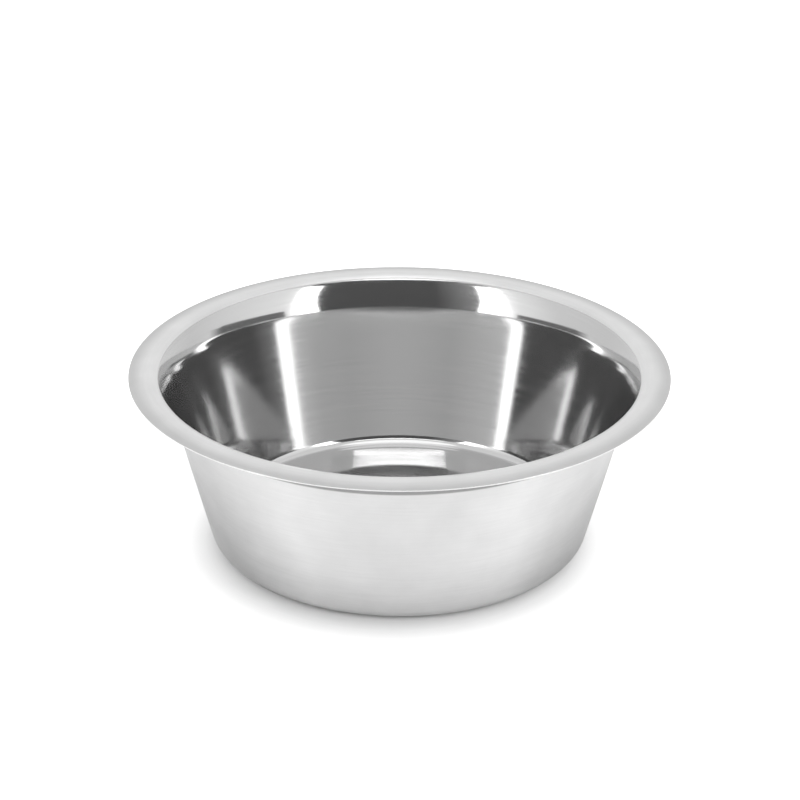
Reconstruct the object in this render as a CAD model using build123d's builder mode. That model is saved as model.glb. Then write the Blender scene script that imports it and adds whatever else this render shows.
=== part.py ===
from build123d import *
import os
from math import asin, atan2, cos, degrees, radians, sin, sqrt

# Stainless dog bowl: one pressing from one disc of sheet, open at the top. The wall leans out
# straight, opens in a wide flare and creases over into a broad low arch, the rim, which ends in
# a narrow flat lip with a cut edge. The base stands on z = 0, the axis is Z.

# Sizes in millimetres and degrees. They measure the face that holds the food and the top of the
# rim, and the sheet lies outside and under that face.
sheet_t = 0.6  # thickness of the stainless sheet
bowl_h = 74.7  # table to the crest of the rim
rim_d = 221.9  # across the cut edge of the rim
floor_d = 148.7  # across the flat floor, to where its corner begins
corner_r = 5.0  # round between floor and wall
flare_r = 30.0  # wide round that opens the top of the wall
crease_r = 3.0  # tight round between the flare and the rim
crease_turn = 22.5  # how far the crease turns
arch_r = 6.3  # round from the crease up to the crest of the rim
arch_turn = 30.0  # how far that round turns
fall_w = 6.95  # from the crest out to the lip
rim_drop = 0.55  # crest of the rim down to the top of the lip
lip_bend_r = 6.0  # round between the rim's fall and the lip
lip_w = 1.2  # flat lip along the cut edge
edge_share = 0.2  # deburred corners of the cut edge, against the sheet's thickness


def way_over(radius, start, end):
    """Gives the way along a round that turns from one slope down to another, radius then height."""
    start, end = radians(start), radians(end)
    return Vector(sin(start) - sin(end), cos(end) - cos(start)) * radius


# Places on the section, radius first, then height, worked back from the crest to the flare
crest = Vector(rim_d / 2 - lip_w - fall_w, bowl_h)
flare_slope = arch_turn + crease_turn
flare_end = crest - way_over(arch_r, arch_turn, 0) - way_over(crease_r, flare_slope, arch_turn)
flare_in = Vector(sin(radians(flare_slope)), -cos(radians(flare_slope)))
flare_centre = flare_end + flare_in * flare_r
corner_centre = Vector(floor_d / 2, sheet_t + corner_r)

# The wall is the line that touches both rounds and crosses between their centres
between = flare_centre - corner_centre
both_r = corner_r + flare_r
wall_slope = degrees(atan2(between.Y, between.X) + asin(both_r / between.length))
wall_l = sqrt(between.length**2 - both_r**2)

# The rim's fall turns down and the lip's bend turns back by the same angle
fall_turn = degrees(2 * atan2(rim_drop, fall_w))
fall_r = (fall_w**2 / rim_drop + rim_drop) / 2 - lip_bend_r


def sheet_side(depth):
    """Draws the line at a depth below the food side from the axis out, and gives its two ends."""
    floor = Line((0, sheet_t - depth), (floor_d / 2, sheet_t - depth))
    corner = JernArc(floor @ 1, floor % 1, corner_r + depth, wall_slope)
    wall = Line(corner @ 1, corner @ 1 + (corner % 1) * wall_l)
    flare = JernArc(wall @ 1, wall % 1, flare_r - depth, flare_slope - wall_slope)
    crease = JernArc(flare @ 1, flare % 1, crease_r - depth, -crease_turn)
    arch = JernArc(crease @ 1, crease % 1, arch_r - depth, -arch_turn)
    fall = JernArc(arch @ 1, arch % 1, fall_r - depth, -fall_turn)
    bend = JernArc(fall @ 1, fall % 1, lip_bend_r + depth, fall_turn)
    lip = Line(bend @ 1, bend @ 1 + (bend % 1) * lip_w)
    return floor @ 0, lip @ 1


os.makedirs("parts", exist_ok=True)

with BuildPart() as bowl:
    with BuildSketch(Plane.XZ) as section:
        with BuildLine():
            for top, under in zip(sheet_side(0), sheet_side(sheet_t)):
                Line(top, under)
        make_face()
        fillet(section.vertices().group_by(Axis.X)[-1], radius=edge_share * sheet_t)
    revolve(axis=Axis.Z)

bowl.part.label = "bowl"
export_step(bowl.part, "parts/bowl.step")
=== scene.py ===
import logging
import math
from dataclasses import dataclass, field
from enum import Enum
from typing import Any

import bmesh
import bpy
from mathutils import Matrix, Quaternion, Vector


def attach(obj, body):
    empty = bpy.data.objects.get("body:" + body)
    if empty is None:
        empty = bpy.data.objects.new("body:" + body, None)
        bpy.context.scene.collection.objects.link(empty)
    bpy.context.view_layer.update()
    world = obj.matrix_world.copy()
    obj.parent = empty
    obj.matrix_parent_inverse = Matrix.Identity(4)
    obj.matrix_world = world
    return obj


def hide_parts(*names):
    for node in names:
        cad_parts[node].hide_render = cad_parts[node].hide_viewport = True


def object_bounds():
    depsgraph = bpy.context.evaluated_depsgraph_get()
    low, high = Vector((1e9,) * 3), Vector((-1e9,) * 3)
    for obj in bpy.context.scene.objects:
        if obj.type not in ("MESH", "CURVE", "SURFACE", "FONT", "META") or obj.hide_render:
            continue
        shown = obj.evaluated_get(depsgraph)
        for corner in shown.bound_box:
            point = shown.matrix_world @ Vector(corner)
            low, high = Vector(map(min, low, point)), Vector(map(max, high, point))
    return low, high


# A stainless dog bowl on a pale studio table: one lathe piece that stands for the pressed sheet, with a
# mirror-polished inside, a satin rim and a satin outside. Soft boxes light it, the room behind the camera is
# dark, and low dark strips stand at both sides.

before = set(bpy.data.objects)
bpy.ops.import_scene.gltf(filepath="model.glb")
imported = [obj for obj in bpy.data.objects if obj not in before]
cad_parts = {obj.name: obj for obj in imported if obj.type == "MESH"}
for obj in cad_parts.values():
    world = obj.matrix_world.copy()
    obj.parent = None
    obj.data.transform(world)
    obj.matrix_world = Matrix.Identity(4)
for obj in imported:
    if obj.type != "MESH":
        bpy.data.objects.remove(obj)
CAD_LOW, CAD_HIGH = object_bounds()

log = logging.getLogger("dog_bowl")
MM = 0.001
IMAGE_PX = 800
SENSOR_MM = 36.0

# Most of a noise lies between these two values, and it has this many finer layers
NOISE_LOW, NOISE_HIGH = 0.3, 0.7
NOISE_LAYERS = 3.0

# Panels: steps of the mesh, elevation of the table's far end and of the walls' top, and two dark glows
PANEL_STEPS_UP, PANEL_STEPS_ROUND = 16, 32
TABLE_END, WALL_TOP = -2.1, 48.0
DARK, DIM = 0.08, 0.18


class Turn(Enum):
    """Which way a bend goes, seen with the bowl's axis on the left and the table below."""

    UP = 1
    DOWN = -1


class Zone(Enum):
    """Areas of the bowl that have a finish of their own, in the order of the material slots."""

    INSIDE = 0
    RIM = 1
    OUTSIDE = 2
    CUT_EDGE = 3


class Way(Enum):
    """Ways over the bowl along which a finish changes, as the axes that count."""

    OUT = (1.0, 1.0, 0.0)
    UP = (0.0, 0.0, 1.0)


def linear(code: str) -> tuple[float, float, float, float]:
    """Turns an sRGB hex colour into linear RGBA.

    Args:
        code: Colour as #RRGGBB.

    Returns:
        Linear red, green, blue and an alpha of 1.
    """
    parts = (int(code[i : i + 2], 16) / 255 for i in (1, 3, 5))
    red, green, blue = (c / 12.92 if c <= 0.04045 else ((c + 0.055) / 1.055) ** 2.4 for c in parts)
    return red, green, blue, 1.0


def add_node(
    tree: bpy.types.NodeTree, kind: str, inputs: dict | None = None, **settings: Any
) -> bpy.types.Node:
    """Adds a node with its settings, and sets or links its inputs.

    Args:
        tree: Tree that gets the node.
        kind: Blender's name for the node type.
        inputs: Socket name or number, to a value or to the output socket that feeds it.
        settings: Options of the node.

    Returns:
        The new node.
    """
    node = tree.nodes.new(kind)
    for option, value in settings.items():
        setattr(node, option, value)
    for socket, value in (inputs or {}).items():
        if isinstance(value, bpy.types.NodeSocket):
            tree.links.new(value, node.inputs[socket])
        else:
            node.inputs[socket].default_value = value
    return node


def fresh_material(name: str) -> tuple[bpy.types.Material, bpy.types.NodeTree]:
    """Makes an empty node material.

    Args:
        name: The material's name.

    Returns:
        The material and its node tree.
    """
    material = bpy.data.materials.new(name)
    material.use_nodes = True
    material.node_tree.nodes.clear()
    return material, material.node_tree


def seen_ray(tree: bpy.types.NodeTree) -> bpy.types.NodeSocket:
    """Tells rays that show a surface, to the camera or in metal and glass, from rays that only light one.

    Args:
        tree: Tree that gets the nodes.

    Returns:
        A socket that is 1 for the first kind and 0 for the other.
    """
    rays = add_node(tree, "ShaderNodeLightPath")
    seen = rays.outputs["Is Camera Ray"]
    for ray in ("Is Glossy Ray", "Is Transmission Ray"):
        either = add_node(tree, "ShaderNodeMath", {0: seen, 1: rays.outputs[ray]}, operation="MAXIMUM")
        seen = either.outputs[0]
    return seen


def mesh_object(name: str, mesh: bmesh.types.BMesh) -> bpy.types.Object:
    """Turns a bmesh into an object at the origin of the scene.

    Args:
        name: Name of the object and its mesh.
        mesh: Finished bmesh in metres, which is freed.

    Returns:
        The new object.
    """
    data = bpy.data.meshes.new(name)
    mesh.to_mesh(data)
    mesh.free()
    piece = bpy.data.objects.new(name, data)
    bpy.context.scene.collection.objects.link(piece)
    return piece


@dataclass(frozen=True)
class Run:
    """A straight stretch of the sheet, in millimetres."""

    length: float


@dataclass(frozen=True)
class Bend:
    """A round stretch of the sheet, measured in millimetres and degrees on the food side."""

    radius: float
    angle: float
    turn: Turn
    steps: int

    def span(self, heading: float) -> Vector:
        """Gives the way from the bend's start to its end.

        Args:
            heading: Direction at the start, in degrees up from level.

        Returns:
            Radius and height covered, in millimetres.
        """
        start, end = math.radians(heading), math.radians(heading + self.turn.value * self.angle)
        reach = Vector((math.sin(end) - math.sin(start), math.cos(start) - math.cos(end)))
        return reach * self.turn.value * self.radius


class SectionPen:
    """Draws one side of the sheet's section as a chain of edges in the XZ plane."""

    ease_mm = 0.4

    def __init__(self, mesh: bmesh.types.BMesh, start_z: float, depth: float) -> None:
        """Starts on the axis, heading straight out.

        Args:
            mesh: Bmesh in millimetres that gets the chain.
            start_z: Height of the chain's first point.
            depth: How far below the food side the chain lies.
        """
        self.mesh = mesh
        self.depth = depth
        self.heading = 0.0
        self.tip = mesh.verts.new((0.0, 0.0, start_z))

    def forward(self, length: float) -> None:
        """Extends the chain by one straight edge.

        Args:
            length: Length of the edge in millimetres.
        """
        angle = math.radians(self.heading)
        self.tip = bmesh.ops.extrude_vert_indiv(self.mesh, verts=[self.tip])["verts"][0]
        step = Vector((math.cos(angle), 0.0, math.sin(angle))) * length
        bmesh.ops.translate(self.mesh, verts=[self.tip], vec=step)

    def draw(self, stretch: Run | Bend) -> None:
        """Extends the chain by a straight or a round stretch.

        A straight stretch keeps a short edge at each end, so that smooth shading leaves it flat between.

        Args:
            stretch: What comes next along the sheet.
        """
        if isinstance(stretch, Run):
            ease = min(self.ease_mm, stretch.length / 3)
            for length in (ease, stretch.length - 2 * ease, ease):
                self.forward(length)
            return
        side = stretch.turn.value
        angle = math.radians(self.heading)
        inward = Vector((-math.sin(angle), 0.0, math.cos(angle))) * side
        last = bmesh.ops.spin(
            self.mesh,
            geom=[self.tip],
            cent=self.tip.co + inward * (stretch.radius + side * self.depth),
            axis=(0.0, -side, 0.0),
            angle=math.radians(stretch.angle),
            steps=stretch.steps,
        )["geom_last"]
        self.tip = next(item for item in last if isinstance(item, bmesh.types.BMVert))
        self.heading += side * stretch.angle


@dataclass(frozen=True)
class BowlSection:
    """Sizes of the pressed sheet on its food side, in millimetres and degrees."""

    rim_r: float = CAD_HIGH.x / MM
    height: float = CAD_HIGH.z / MM
    sheet: float = 0.6
    floor_d: float = 156.4
    lean: float = 14.5
    bow: float = 1.2
    corner_r: float = 5.0
    crown_d: float = 106.0
    crown_slope: float = 2.0
    valley_r: float = 80.0
    flare_r: float = 30.0
    flare_turn: float = 24.2
    crease_r: float = 3.0
    crease_turn: float = 22.5
    crest_in: float = 8.15
    rim_drop: float = 0.55
    lip_w: float = 1.2
    lip_bend_r: float = 6.0

    @property
    def crown_r(self) -> float:
        """Radius of the floor's shallow crown."""
        return self.crown_d / 2 / math.sin(math.radians(self.crown_slope))

    @property
    def crown_rise(self) -> float:
        """Height of the floor's centre above the ring that the bowl stands on."""
        falls = (self.crown_r, self.valley_r)
        return sum(falls) * (1 - math.cos(math.radians(self.crown_slope)))

    def stretches(self) -> list[Run | Bend]:
        """Lists the sheet's stretches from the axis out to the cut edge.

        Returns:
            Straight and round stretches in order, each tangent to the last.
        """
        rise = 90.0 - self.lean
        corner_run = self.corner_r * math.tan(math.radians(rise) / 2)
        crown = Bend(self.crown_r, self.crown_slope, Turn.DOWN, steps=12)
        valley = Bend(self.valley_r, self.crown_slope, Turn.UP, steps=4)
        crown_end = self.crown_d / 2 + self.valley_r * math.sin(math.radians(self.crown_slope))
        corner = Bend(self.corner_r, rise, Turn.UP, steps=18)
        flare = Bend(self.flare_r, self.flare_turn, Turn.DOWN, steps=20)
        crease = Bend(self.crease_r, self.crease_turn, Turn.DOWN, steps=6)
        arch_turn = rise + self.bow - self.flare_turn - self.crease_turn

        # The wall bows a little on its way up. Its radius and the arch's bring the crest to its place.
        foot = math.radians(self.lean)
        floor_end = Vector((self.floor_d / 2, self.sheet))
        wall_foot = Vector((math.sin(foot), math.cos(foot))) * corner_run + floor_end
        bends = flare.span(rise + self.bow) + crease.span(arch_turn + self.crease_turn)
        left = Vector((self.rim_r - self.crest_in, self.height)) - wall_foot - bends
        unit_wall = Bend(1.0, self.bow, Turn.UP, steps=1).span(rise)
        unit_arch = Bend(1.0, arch_turn, Turn.DOWN, steps=1).span(arch_turn)
        across = unit_wall.cross(unit_arch)
        wall_r, arch_r = left.cross(unit_arch) / across, unit_wall.cross(left) / across

        # Outside the crest the sheet falls to a narrow flat lip.
        fall_run = self.crest_in - self.lip_w
        fall_r = (fall_run**2 / self.rim_drop + self.rim_drop) / 2 - self.lip_bend_r
        fall_turn = math.degrees(2 * math.atan2(self.rim_drop, fall_run))
        return [
            crown,
            valley,
            Run(self.floor_d / 2 - corner_run - crown_end),
            corner,
            Bend(wall_r, self.bow, Turn.UP, steps=16),
            flare,
            crease,
            Bend(arch_r, arch_turn, Turn.DOWN, steps=14),
            Bend(fall_r, fall_turn, Turn.DOWN, steps=14),
            Bend(self.lip_bend_r, fall_turn, Turn.UP, steps=6),
            Run(self.lip_w),
        ]


def ring_noise(tree: bpy.types.NodeTree, along: float, across: float) -> bpy.types.NodeSocket:
    """Makes noise that is drawn out along the rings which a wheel or a brush leaves on a turning bowl.

    Args:
        tree: Tree that gets the nodes.
        along: Length of a mark round the bowl, in millimetres.
        across: Spacing of the rings, in millimetres, out along the floor and the rim and up the wall.

    Returns:
        A socket that goes from 0 to 1.
    """
    place = add_node(tree, "ShaderNodeTexCoord").outputs["Object"]
    level = add_node(tree, "ShaderNodeVectorMath", {0: place, 1: Way.OUT.value}, operation="MULTIPLY")
    reach = add_node(tree, "ShaderNodeVectorMath", {0: level.outputs["Vector"]}, operation="LENGTH")
    lift = add_node(tree, "ShaderNodeCombineXYZ", {"Z": reach.outputs["Value"]}).outputs["Vector"]
    rings = add_node(tree, "ShaderNodeVectorMath", {0: place, 1: lift}, operation="ADD").outputs["Vector"]
    spacing = tuple(1 / (size * MM) for size in (along, along, across))
    spaced = add_node(tree, "ShaderNodeVectorMath", {0: rings, 1: spacing}, operation="MULTIPLY")
    look = {"Vector": spaced.outputs["Vector"], "Scale": 1.0, "Detail": NOISE_LAYERS}
    return add_node(tree, "ShaderNodeTexNoise", look).outputs["Fac"]


def patch_noise(tree: bpy.types.NodeTree, size: float) -> bpy.types.NodeSocket:
    """Makes even noise.

    Args:
        tree: Tree that gets the nodes.
        size: Size of a patch in millimetres.

    Returns:
        A socket that goes from 0 to 1.
    """
    place = add_node(tree, "ShaderNodeTexCoord").outputs["Object"]
    look = {"Vector": place, "Scale": 1 / (size * MM), "Detail": NOISE_LAYERS}
    return add_node(tree, "ShaderNodeTexNoise", look).outputs["Fac"]


def spread(
    tree: bpy.types.NodeTree, noise: bpy.types.NodeSocket, low: float, high: float
) -> bpy.types.NodeSocket:
    """Spreads the middle of a noise over a range.

    Args:
        tree: Tree that gets the node.
        noise: Noise from 0 to 1, most of it near the middle.
        low: Result where the noise is low.
        high: Result where it is high.

    Returns:
        The spread value.
    """
    ends = {"From Min": NOISE_LOW, "From Max": NOISE_HIGH, "To Min": low, "To Max": high}
    return add_node(tree, "ShaderNodeMapRange", {"Value": noise, **ends}).outputs["Result"]


def toned(tree: bpy.types.NodeTree, colour: str, tones: list[bpy.types.NodeSocket]) -> bpy.types.NodeSocket:
    """Scales a colour by every one of some tones, where 1 leaves it as it is.

    Args:
        tree: Tree that gets the nodes.
        colour: Colour as #RRGGBB.
        tones: Sockets with the tones.

    Returns:
        The scaled colour.
    """
    shown: Any = linear(colour)[:3]
    for tone in tones:
        node = add_node(tree, "ShaderNodeVectorMath", {0: shown, "Scale": tone}, operation="SCALE")
        shown = node.outputs["Vector"]
    return shown


@dataclass(frozen=True)
class MirrorPolish:
    """Stainless steel, buffed to a mirror on a wheel, in millimetres.

    The eye sees the studio in it almost unblurred. Straight lines waver a little, because a pressed sheet is
    never quite even, and the wheel leaves faint rings, drawn wider here than the real ones so that they show.
    """

    name: str = "stainless_steel_mirror_polished"
    colour: str = "#CCCCCC"
    metallic: float = 0.94
    roughness: float = 0.085
    roughness_varies: float = 0.02
    ring_length: float = 45.0
    ring_spacing: float = 1.6
    ring_tone: float = 0.97
    wave_size: float = 28.0
    wave_height: float = 0.035

    def material(self) -> bpy.types.Material:
        """Builds the node material.

        Returns:
            The material of the inside.
        """
        material, tree = fresh_material(self.name)
        rings = ring_noise(tree, self.ring_length, self.ring_spacing)
        waves = patch_noise(tree, self.wave_size)
        uneven = add_node(tree, "ShaderNodeBump", {"Height": waves, "Distance": self.wave_height * MM})
        gloss = (self.roughness - self.roughness_varies, self.roughness + self.roughness_varies)
        shader = add_node(
            tree,
            "ShaderNodeBsdfPrincipled",
            {
                "Base Color": toned(tree, self.colour, [spread(tree, rings, self.ring_tone, 1.0)]),
                "Metallic": self.metallic,
                "Roughness": spread(tree, rings, *gloss),
                "Normal": uneven.outputs["Normal"],
            },
        )
        add_node(tree, "ShaderNodeOutputMaterial", {"Surface": shader.outputs["BSDF"]})
        return material


@dataclass(frozen=True)
class Fade:
    """A painted change of tone that stands for light or shade over the bowl, out from the axis or up from the
    table, in millimetres.
    """

    way: Way
    start: float
    end: float
    last_tone: float

    def tone(self, tree: bpy.types.NodeTree) -> bpy.types.NodeSocket:
        """Builds the tone.

        Args:
            tree: Tree that gets the nodes.

        Returns:
            A socket that goes from 1 at the start to the last tone at the end.
        """
        place = add_node(tree, "ShaderNodeTexCoord").outputs["Object"]
        kept = add_node(tree, "ShaderNodeVectorMath", {0: place, 1: self.way.value}, operation="MULTIPLY")
        reach = add_node(tree, "ShaderNodeVectorMath", {0: kept.outputs["Vector"]}, operation="LENGTH")
        span = {"From Min": self.start * MM, "From Max": self.end * MM}
        ends = {"Value": reach.outputs["Value"], **span, "To Min": 1.0, "To Max": self.last_tone}
        eased = add_node(tree, "ShaderNodeMapRange", ends, interpolation_type="SMOOTHSTEP")
        return eased.outputs["Result"]


@dataclass(frozen=True)
class SatinBrush:
    """Stainless steel, brushed round and round on a lathe to a satin, in millimetres.

    The eye sees soft reflections, smeared across the fine rings of the brush, and faint smudges from hands.
    The real rings are finer than a pixel, so they are drawn coarser here. A smear turn of a quarter lays the
    smear across the rings.
    """

    name: str
    colour: str
    roughness: float
    smear: float
    fades: tuple[Fade, ...] = ()
    smear_turn: float = 0.25
    roughness_varies: float = 0.05
    ring_length: float = 18.0
    ring_spacing: float = 1.1
    ring_depth: float = 0.006
    ring_tone: float = 0.95
    smudge_size: float = 16.0
    smudge_tone: float = 0.94

    def material(self) -> bpy.types.Material:
        """Builds the node material.

        Returns:
            The material, with the fades, painted light and shade, in its colour.
        """
        material, tree = fresh_material(self.name)
        rings = ring_noise(tree, self.ring_length, self.ring_spacing)
        smudges = patch_noise(tree, self.smudge_size)
        tones = [spread(tree, rings, self.ring_tone, 1.0), spread(tree, smudges, self.smudge_tone, 1.0)]
        tones += [fade.tone(tree) for fade in self.fades]
        gloss = (self.roughness - self.roughness_varies, self.roughness + self.roughness_varies)
        brushed = add_node(tree, "ShaderNodeBump", {"Height": rings, "Distance": self.ring_depth * MM})
        tangent = add_node(tree, "ShaderNodeTangent", direction_type="RADIAL", axis="Z")
        shader = add_node(
            tree,
            "ShaderNodeBsdfPrincipled",
            {
                "Base Color": toned(tree, self.colour, tones),
                "Metallic": 1.0,
                "Roughness": spread(tree, rings, *gloss),
                "Anisotropic": self.smear,
                "Anisotropic Rotation": self.smear_turn,
                "Tangent": tangent.outputs["Tangent"],
                "Normal": brushed.outputs["Normal"],
            },
        )
        add_node(tree, "ShaderNodeOutputMaterial", {"Surface": shader.outputs["BSDF"]})
        return material


@dataclass
class DogBowl:
    """The one pressed piece: floor, wall and rim of a single sheet."""

    section: BowlSection = field(default_factory=BowlSection)
    satin_from_r: float = 99.2
    spin_steps: int = 384
    edge_bevel: float = 0.08
    facing_limit: float = 0.5

    def build(self) -> bpy.types.Object:
        """Spins the sheet's section into the bowl.

        Returns:
            The bowl as one closed mesh, with a zone's slot on each face.
        """
        mesh = bmesh.new()
        size = self.section
        ends = []
        for depth in (0.0, size.sheet):
            pen = SectionPen(mesh, size.sheet + size.crown_rise - depth, depth)
            for stretch in size.stretches():
                pen.draw(stretch)
            ends.append(pen.tip)
        mesh.edges.new(ends)
        bmesh.ops.spin(
            mesh,
            geom=mesh.verts[:] + mesh.edges[:],
            cent=(0.0, 0.0, 0.0),
            axis=(0.0, 0.0, 1.0),
            angle=math.tau,
            steps=self.spin_steps,
            use_merge=True,
        )
        bmesh.ops.remove_doubles(mesh, verts=mesh.verts[:], dist=MM)
        bmesh.ops.recalc_face_normals(mesh, faces=mesh.faces[:])
        self.round_cut_edge(mesh)
        for face in mesh.faces:
            face.smooth = True
            face.material_index = self.zone_of(face).value
        bmesh.ops.scale(mesh, vec=(MM, MM, MM), verts=mesh.verts[:])
        return mesh_object("pressed_bowl", mesh)

    def round_cut_edge(self, mesh: bmesh.types.BMesh) -> None:
        """Deburrs both corners of the cut edge.

        Args:
            mesh: Bmesh of the bowl in millimetres.
        """
        size = self.section
        lip_z = size.height - size.rim_drop
        near = self.edge_bevel / 2
        rings = []
        for depth in (0.0, size.sheet):
            corner = Vector((size.rim_r, lip_z - depth))
            ring = {v for v in mesh.verts if (Vector((v.co.xy.length, v.co.z)) - corner).length < near}
            rings += [e for e in mesh.edges if ring.issuperset(e.verts)]
        bmesh.ops.bevel(
            mesh,
            geom=rings,
            offset=self.edge_bevel,
            affect="EDGES",
            segments=3,
            profile=0.5,
            material=-1,
        )

    def zone_of(self, face: bmesh.types.BMFace) -> Zone:
        """Tells which finish a face has, from its place and the way it faces.

        Args:
            face: A face of the bowl, in millimetres.

        Returns:
            The zone that the face belongs to.
        """
        radius = face.calc_center_median().xy.length
        if radius > self.section.rim_r - self.edge_bevel and abs(face.normal.z) < self.facing_limit:
            return Zone.CUT_EDGE
        if radius > self.satin_from_r and face.normal.z > -self.facing_limit:
            return Zone.RIM
        return Zone.INSIDE if face.normal.z > 0 else Zone.OUTSIDE

    def dress(self, piece: bpy.types.Object) -> None:
        """Gives the zones their finishes, in the order of Zone.

        Two things seen on the real bowl are painted into the finish as light and shade. A painted highlight:
        the rim's colour darkens from its crest out to the lip, so the crest shows brightest. A painted shade:
        a dark line lies where the wall opens into the flare, and eases off towards the rim. Two things seen
        on the real bowl are drawn in the finish, though their cause is not known: the rim is brightest at its
        crest, and a dark line lies where the wall opens into the flare, drawn as a dull line that eases off
        towards the rim. The trimmed edge is bare cut metal, which shows as a thin bright line.

        Args:
            piece: The bowl, with a zone's slot on each face.
        """
        # Painted highlight: the rim's colour darkens from its crest out to the lip, so the crest shows
        # bright.
        crest_painted_highlight = (Fade(Way.OUT, start=103.5, end=110.5, last_tone=0.76),)
        # Painted shade: a dark line where the wall opens into the flare, painted lighter again up towards the
        # rim.
        flare_painted_shade = (
            Fade(Way.UP, start=63.1, end=63.9, last_tone=0.46),
            Fade(Way.UP, start=64.7, end=68.5, last_tone=1.9),
        )
        finishes = (
            MirrorPolish(),
            SatinBrush("stainless_steel_satin_rim", "#E2E2E2", 0.35, 0.6, crest_painted_highlight),
            SatinBrush("stainless_steel_satin_outside", "#EAEAEA", 0.42, 0.75, flare_painted_shade),
            SatinBrush("stainless_steel_trimmed_edge", "#F0F0F0", 0.25, 0.0),
        )
        for finish in finishes:
            piece.data.materials.append(finish.material())

    def place(self) -> bpy.types.Object:
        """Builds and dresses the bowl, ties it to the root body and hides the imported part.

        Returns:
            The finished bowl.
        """
        piece = self.build()
        self.dress(piece)
        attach(piece, "root")
        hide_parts("bowl")
        return piece


@dataclass(frozen=True)
class Panel:
    """A studio panel bent round the bowl, which lights it and shows in the metal but not to the camera.

    Bearings are degrees from the camera's side to the right, elevations degrees up from the rim, and the
    distance is in metres. The glow is given at the left and the right edge, where 1 is white. A panel that
    leans has its top edge shifted to the right by an angle.
    """

    name: str
    left: float
    right: float
    low: float
    high: float
    glow: tuple[float, float]
    distance: float = 2.0
    lean: float = 0.0

    def place(self) -> None:
        """Builds the panel as a patch of a dome with the bowl in its middle."""
        mesh = bmesh.new()
        middle = Vector((0.0, 0.0, CAD_HIGH.z))
        turn, tilt = math.radians(self.left), math.radians(self.low)
        side = Vector((math.cos(turn), math.sin(turn), 0.0))
        foot = Vector((math.sin(turn) * math.cos(tilt), -math.cos(turn) * math.cos(tilt), math.sin(tilt)))
        start = mesh.verts.new(middle + foot * self.distance)
        rise = math.radians(self.high - self.low)
        bmesh.ops.spin(mesh, geom=[start], cent=middle, axis=side, angle=-rise, steps=PANEL_STEPS_UP)
        sweep = math.radians(self.right - self.left)
        bmesh.ops.spin(
            mesh,
            geom=mesh.verts[:] + mesh.edges[:],
            cent=middle,
            axis=(0.0, 0.0, 1.0),
            angle=sweep,
            steps=PANEL_STEPS_ROUND,
        )
        bmesh.ops.remove_doubles(mesh, verts=mesh.verts[:], dist=MM)
        for vert in mesh.verts:
            up = math.atan2(vert.co.z - middle.z, vert.co.xy.length) - tilt
            vert.co.rotate(Quaternion((0.0, 0.0, 1.0), math.radians(self.lean) * up / rise))
        panel = mesh_object(self.name, mesh)
        panel.data.materials.append(self.material())
        panel.visible_camera = False

    def material(self) -> bpy.types.Material:
        """Builds the panel's glow, which changes evenly with the bearing.

        A panel that crosses the bearing of -90 degrees, where the gradient starts anew, has one even glow.

        Returns:
            The glowing material.
        """
        material, tree = fresh_material(self.name)
        place = add_node(tree, "ShaderNodeTexCoord").outputs["Object"]
        bearing = add_node(tree, "ShaderNodeTexGradient", {"Vector": place}, gradient_type="RADIAL")
        start = (self.left + 90) % 360
        level = add_node(
            tree,
            "ShaderNodeMapRange",
            {
                "Value": bearing.outputs["Fac"],
                "From Min": start / 360,
                "From Max": (start + self.right - self.left) / 360,
                "To Min": self.glow[0],
                "To Max": self.glow[1],
            },
        )
        shader = add_node(tree, "ShaderNodeEmission", {"Strength": level.outputs["Result"]})
        add_node(tree, "ShaderNodeOutputMaterial", {"Surface": shader.outputs["Emission"]})
        return material


@dataclass(frozen=True)
class Shade:
    """How the bowl's painted shadow in the table's own light fades out, in millimetres round a point on the
    table.

    A stretch above 1 makes it wider from side to side than from front to back. The far glow is the table's
    own light well away from the bowl, where 1 is white.
    """

    dark_r: float
    clear_r: float
    middle: tuple[float, float]
    stretch: float
    far_glow: float


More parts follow.
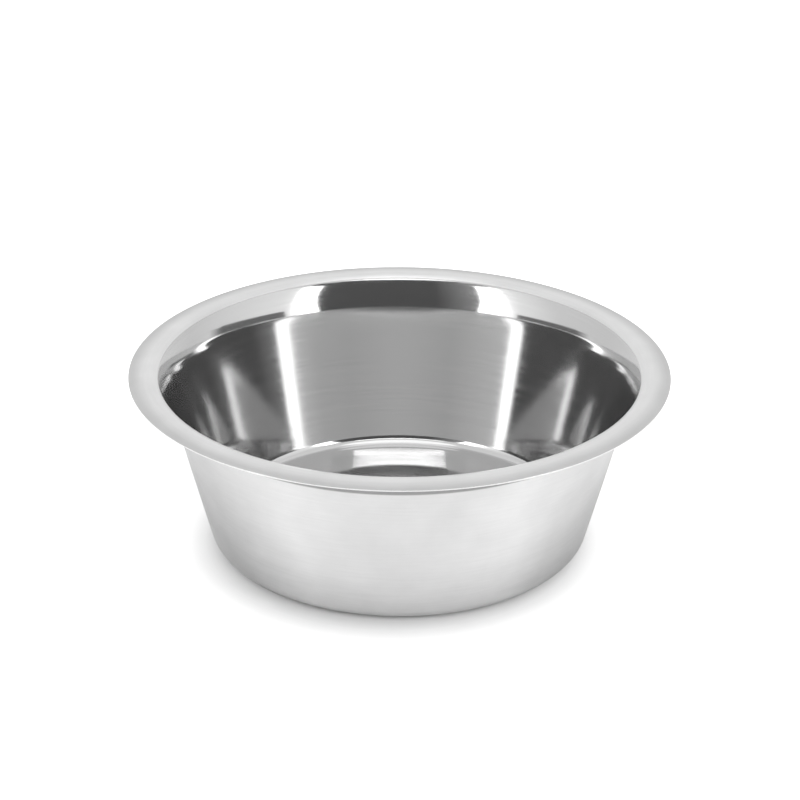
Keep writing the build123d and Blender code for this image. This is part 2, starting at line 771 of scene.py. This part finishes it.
@dataclass(frozen=True)
class Studio:
    """The pale table, the white surround and the panels round the bowl.

    The panels were worked back from the reflections in the bowl. The table's size is in metres. Its own light
    goes from the near glow to a shade's far glow between two radii in millimetres. In the metal the near glow
    is the stronger, a painted pool of light round the bowl.
    """

    table_size: float = 8.0
    table_colour: str = "#D2D2D2"
    ambient: float = 0.75
    shade_seen: Shade = Shade(62.0, 94.0, (-2.5, -8.0), 1.0, 1.0)
    shade_mirrored: Shade = Shade(100.0, 142.0, (-8.0, 32.0), 1.17, 0.42)
    glow_near_r: float = 100.0
    glow_far_r: float = 400.0
    # Seen in the metal this near glow is above the far glow: a painted pool of light round the bowl.
    near_glow: float = 0.65
    panels: tuple[Panel, ...] = (
        Panel("soft_box_right", 44.0, 57.0, 2.0, 50.0, (4.5, 4.5), 0.75, 6.0),
        Panel("soft_box_right_edge", 57.0, 63.5, 2.0, 50.0, (2.4, 1.3), 0.75, 6.0),
        Panel("white_wall_right", 60.0, 125.0, TABLE_END, WALL_TOP, (1.25, 0.88)),
        Panel("white_wall_right_back", 125.0, 170.0, TABLE_END, WALL_TOP, (0.88, 1.0)),
        Panel("soft_box_left", -57.2, -42.5, 2.0, 50.0, (4.0, 4.0), 0.75, -6.0),
        Panel("soft_box_left_edge", -65.0, -57.2, 2.0, 50.0, (1.4, 2.6), 0.75, -6.0),
        Panel("white_wall_left", -90.0, -60.0, TABLE_END, WALL_TOP, (0.95, 1.35)),
        Panel("white_wall_left_side", -125.0, -90.0, TABLE_END, WALL_TOP, (0.88, 0.95)),
        Panel("white_wall_left_back", -170.0, -125.0, TABLE_END, WALL_TOP, (1.0, 0.88)),
        Panel("soft_box_front", -39.0, 39.0, 55.0, 57.5, (4.0, 4.0)),
        Panel("soft_box_above", -90.0, 270.0, 73.0, 90.0, (1.7, 1.7)),
        Panel("dark_room", -20.0, 55.0, TABLE_END, 52.5, (DARK, DARK)),
        Panel("dark_room_left", -55.0, -20.0, TABLE_END, 52.5, (0.5, DARK)),
        Panel("dark_room_above", -39.0, 39.0, 52.5, 55.0, (DARK, DARK)),
        Panel("dark_skirting_right", 60.0, 103.0, TABLE_END, 13.0, (DIM, DIM), 1.9),
        Panel("dark_skirting_right_end", 103.0, 112.0, TABLE_END, 12.0, (DIM, 1.0), 1.9),
        Panel("dark_skirting_left", -102.0, -60.0, TABLE_END, 10.0, (DIM, DIM), 1.9),
        Panel("dark_skirting_left_end", -112.0, -102.0, TABLE_END, 9.5, (1.0, DIM), 1.9),
    )

    def build_table(self) -> None:
        """Lays the table of matt white laminate.

        The eye sees plain white with the bowl's soft shade on it. Its own light makes it white, and its paint
        keeps the bowl's shadow. Round the bowl that own light is also held off in a painted shadow, and in
        the metal it is brighter near the bowl, a painted pool of light.
        """
        mesh = bmesh.new()
        bmesh.ops.create_grid(mesh, x_segments=1, y_segments=1, size=self.table_size / 2)
        table = mesh_object("table", mesh)
        material, tree = fresh_material("white_laminate_matt")
        place = add_node(tree, "ShaderNodeTexCoord").outputs["Object"]
        reach = add_node(tree, "ShaderNodeVectorMath", {0: place}, operation="LENGTH").outputs["Value"]
        # The camera sees a narrow painted shadow in the table's own light, and the metal a wider one that
        # lies towards the back.
        fades = []
        for shade in (self.shade_mirrored, self.shade_seen):
            middle = (shade.middle[0] * MM, shade.middle[1] * MM, 0.0)
            apart = add_node(tree, "ShaderNodeVectorMath", {0: place, 1: middle}, operation="SUBTRACT")
            way = {0: apart.outputs["Vector"], 1: (1 / shade.stretch, 1.0, 1.0)}
            evened = add_node(tree, "ShaderNodeVectorMath", way, operation="MULTIPLY").outputs["Vector"]
            off = add_node(tree, "ShaderNodeVectorMath", {0: evened}, operation="LENGTH").outputs["Value"]
            levels = {"To Min": self.near_glow, "To Max": shade.far_glow}
            ends = {"From Min": self.glow_near_r * MM, "From Max": self.glow_far_r * MM, **levels}
            glow = add_node(tree, "ShaderNodeMapRange", {"Value": reach, **ends}).outputs["Result"]
            ends = {"From Min": shade.dark_r * MM, "From Max": shade.clear_r * MM, "To Max": glow}
            eased = {"Value": off, **ends}
            fade = add_node(tree, "ShaderNodeMapRange", eased, interpolation_type="SMOOTHSTEP")
            fades.append(fade.outputs["Result"])
        camera = add_node(tree, "ShaderNodeLightPath").outputs["Is Camera Ray"]
        shown = add_node(tree, "ShaderNodeMix", {"Factor": camera, "A": fades[0], "B": fades[1]})
        both_rays = {0: seen_ray(tree), 1: shown.outputs["Result"]}
        glow = add_node(tree, "ShaderNodeMath", both_rays, operation="MULTIPLY")
        lit = add_node(tree, "ShaderNodeBsdfDiffuse", {"Color": linear(self.table_colour)})
        own = add_node(tree, "ShaderNodeEmission", {"Strength": glow.outputs[0]})
        both = add_node(tree, "ShaderNodeAddShader", {0: lit.outputs[0], 1: own.outputs[0]})
        add_node(tree, "ShaderNodeOutputMaterial", {"Surface": both.outputs[0]})
        table.data.materials.append(material)

    def build_surround(self) -> None:
        """Makes the world white to the camera and in the metal, and a dimmer even light for the rest."""
        world = bpy.data.worlds.new("white_surround")
        world.use_nodes = True
        tree = world.node_tree
        tree.nodes.clear()
        level = add_node(
            tree, "ShaderNodeMapRange", {"Value": seen_ray(tree), "To Min": self.ambient, "To Max": 1.0}
        ).outputs["Result"]
        white = add_node(tree, "ShaderNodeBackground", {"Color": linear("#FFFFFF"), "Strength": level})
        add_node(tree, "ShaderNodeOutputWorld", {"Surface": white.outputs["Background"]})
        bpy.context.scene.world = world

    def place(self) -> None:
        """Sets up the table, the surround and every panel."""
        self.build_table()
        self.build_surround()
        for panel in self.panels:
            panel.place()


@dataclass(frozen=True)
class PhotoCamera:
    """The camera as the photograph was taken: lengths in millimetres, angles in degrees."""

    focal_px: float = 2046.5
    elevation: float = 24.2
    distance: float = 843.2
    rim_z: float = 73.0
    aim_x: float = 0.22
    aim_z: float = 58.4
    roll: float = 0.27
    clip: float = 10.0

    def place(self) -> bpy.types.Object:
        """Puts the camera in front of the bowl and makes it the scene's camera.

        Returns:
            The camera.
        """
        data = bpy.data.cameras.new("photo_camera")
        data.sensor_width = SENSOR_MM
        data.lens = self.focal_px / IMAGE_PX * SENSOR_MM
        data.clip_start = self.clip * MM
        camera = bpy.data.objects.new("photo_camera", data)
        tilt = math.radians(self.elevation)
        reach = Vector((0.0, -math.cos(tilt), math.sin(tilt))) * self.distance
        camera.location = (reach + Vector((0.0, 0.0, self.rim_z))) * MM
        aim = Vector((self.aim_x, 0.0, self.aim_z)) * MM
        level = (aim - camera.location).to_track_quat("-Z", "Y")
        camera.rotation_mode = "QUATERNION"
        camera.rotation_quaternion = level @ Quaternion((0.0, 0.0, 1.0), math.radians(self.roll))
        bpy.context.scene.collection.objects.link(camera)
        bpy.context.scene.camera = camera
        return camera


def main() -> None:
    """Builds the bowl, the studio and the camera."""
    logging.basicConfig(level=logging.INFO, format="%(name)s: %(message)s")
    bpy.context.scene.view_settings.view_transform = "Standard"
    piece = DogBowl().place()
    log.info("%s: %d faces", piece.name, len(piece.data.polygons))
    Studio().place()
    log.info("studio: %d panels round the table", len(Studio.panels))
    camera = PhotoCamera().place()
    log.info("%s: lens %.1f mm", camera.name, camera.data.lens)


if __name__ == "__main__":
    main()
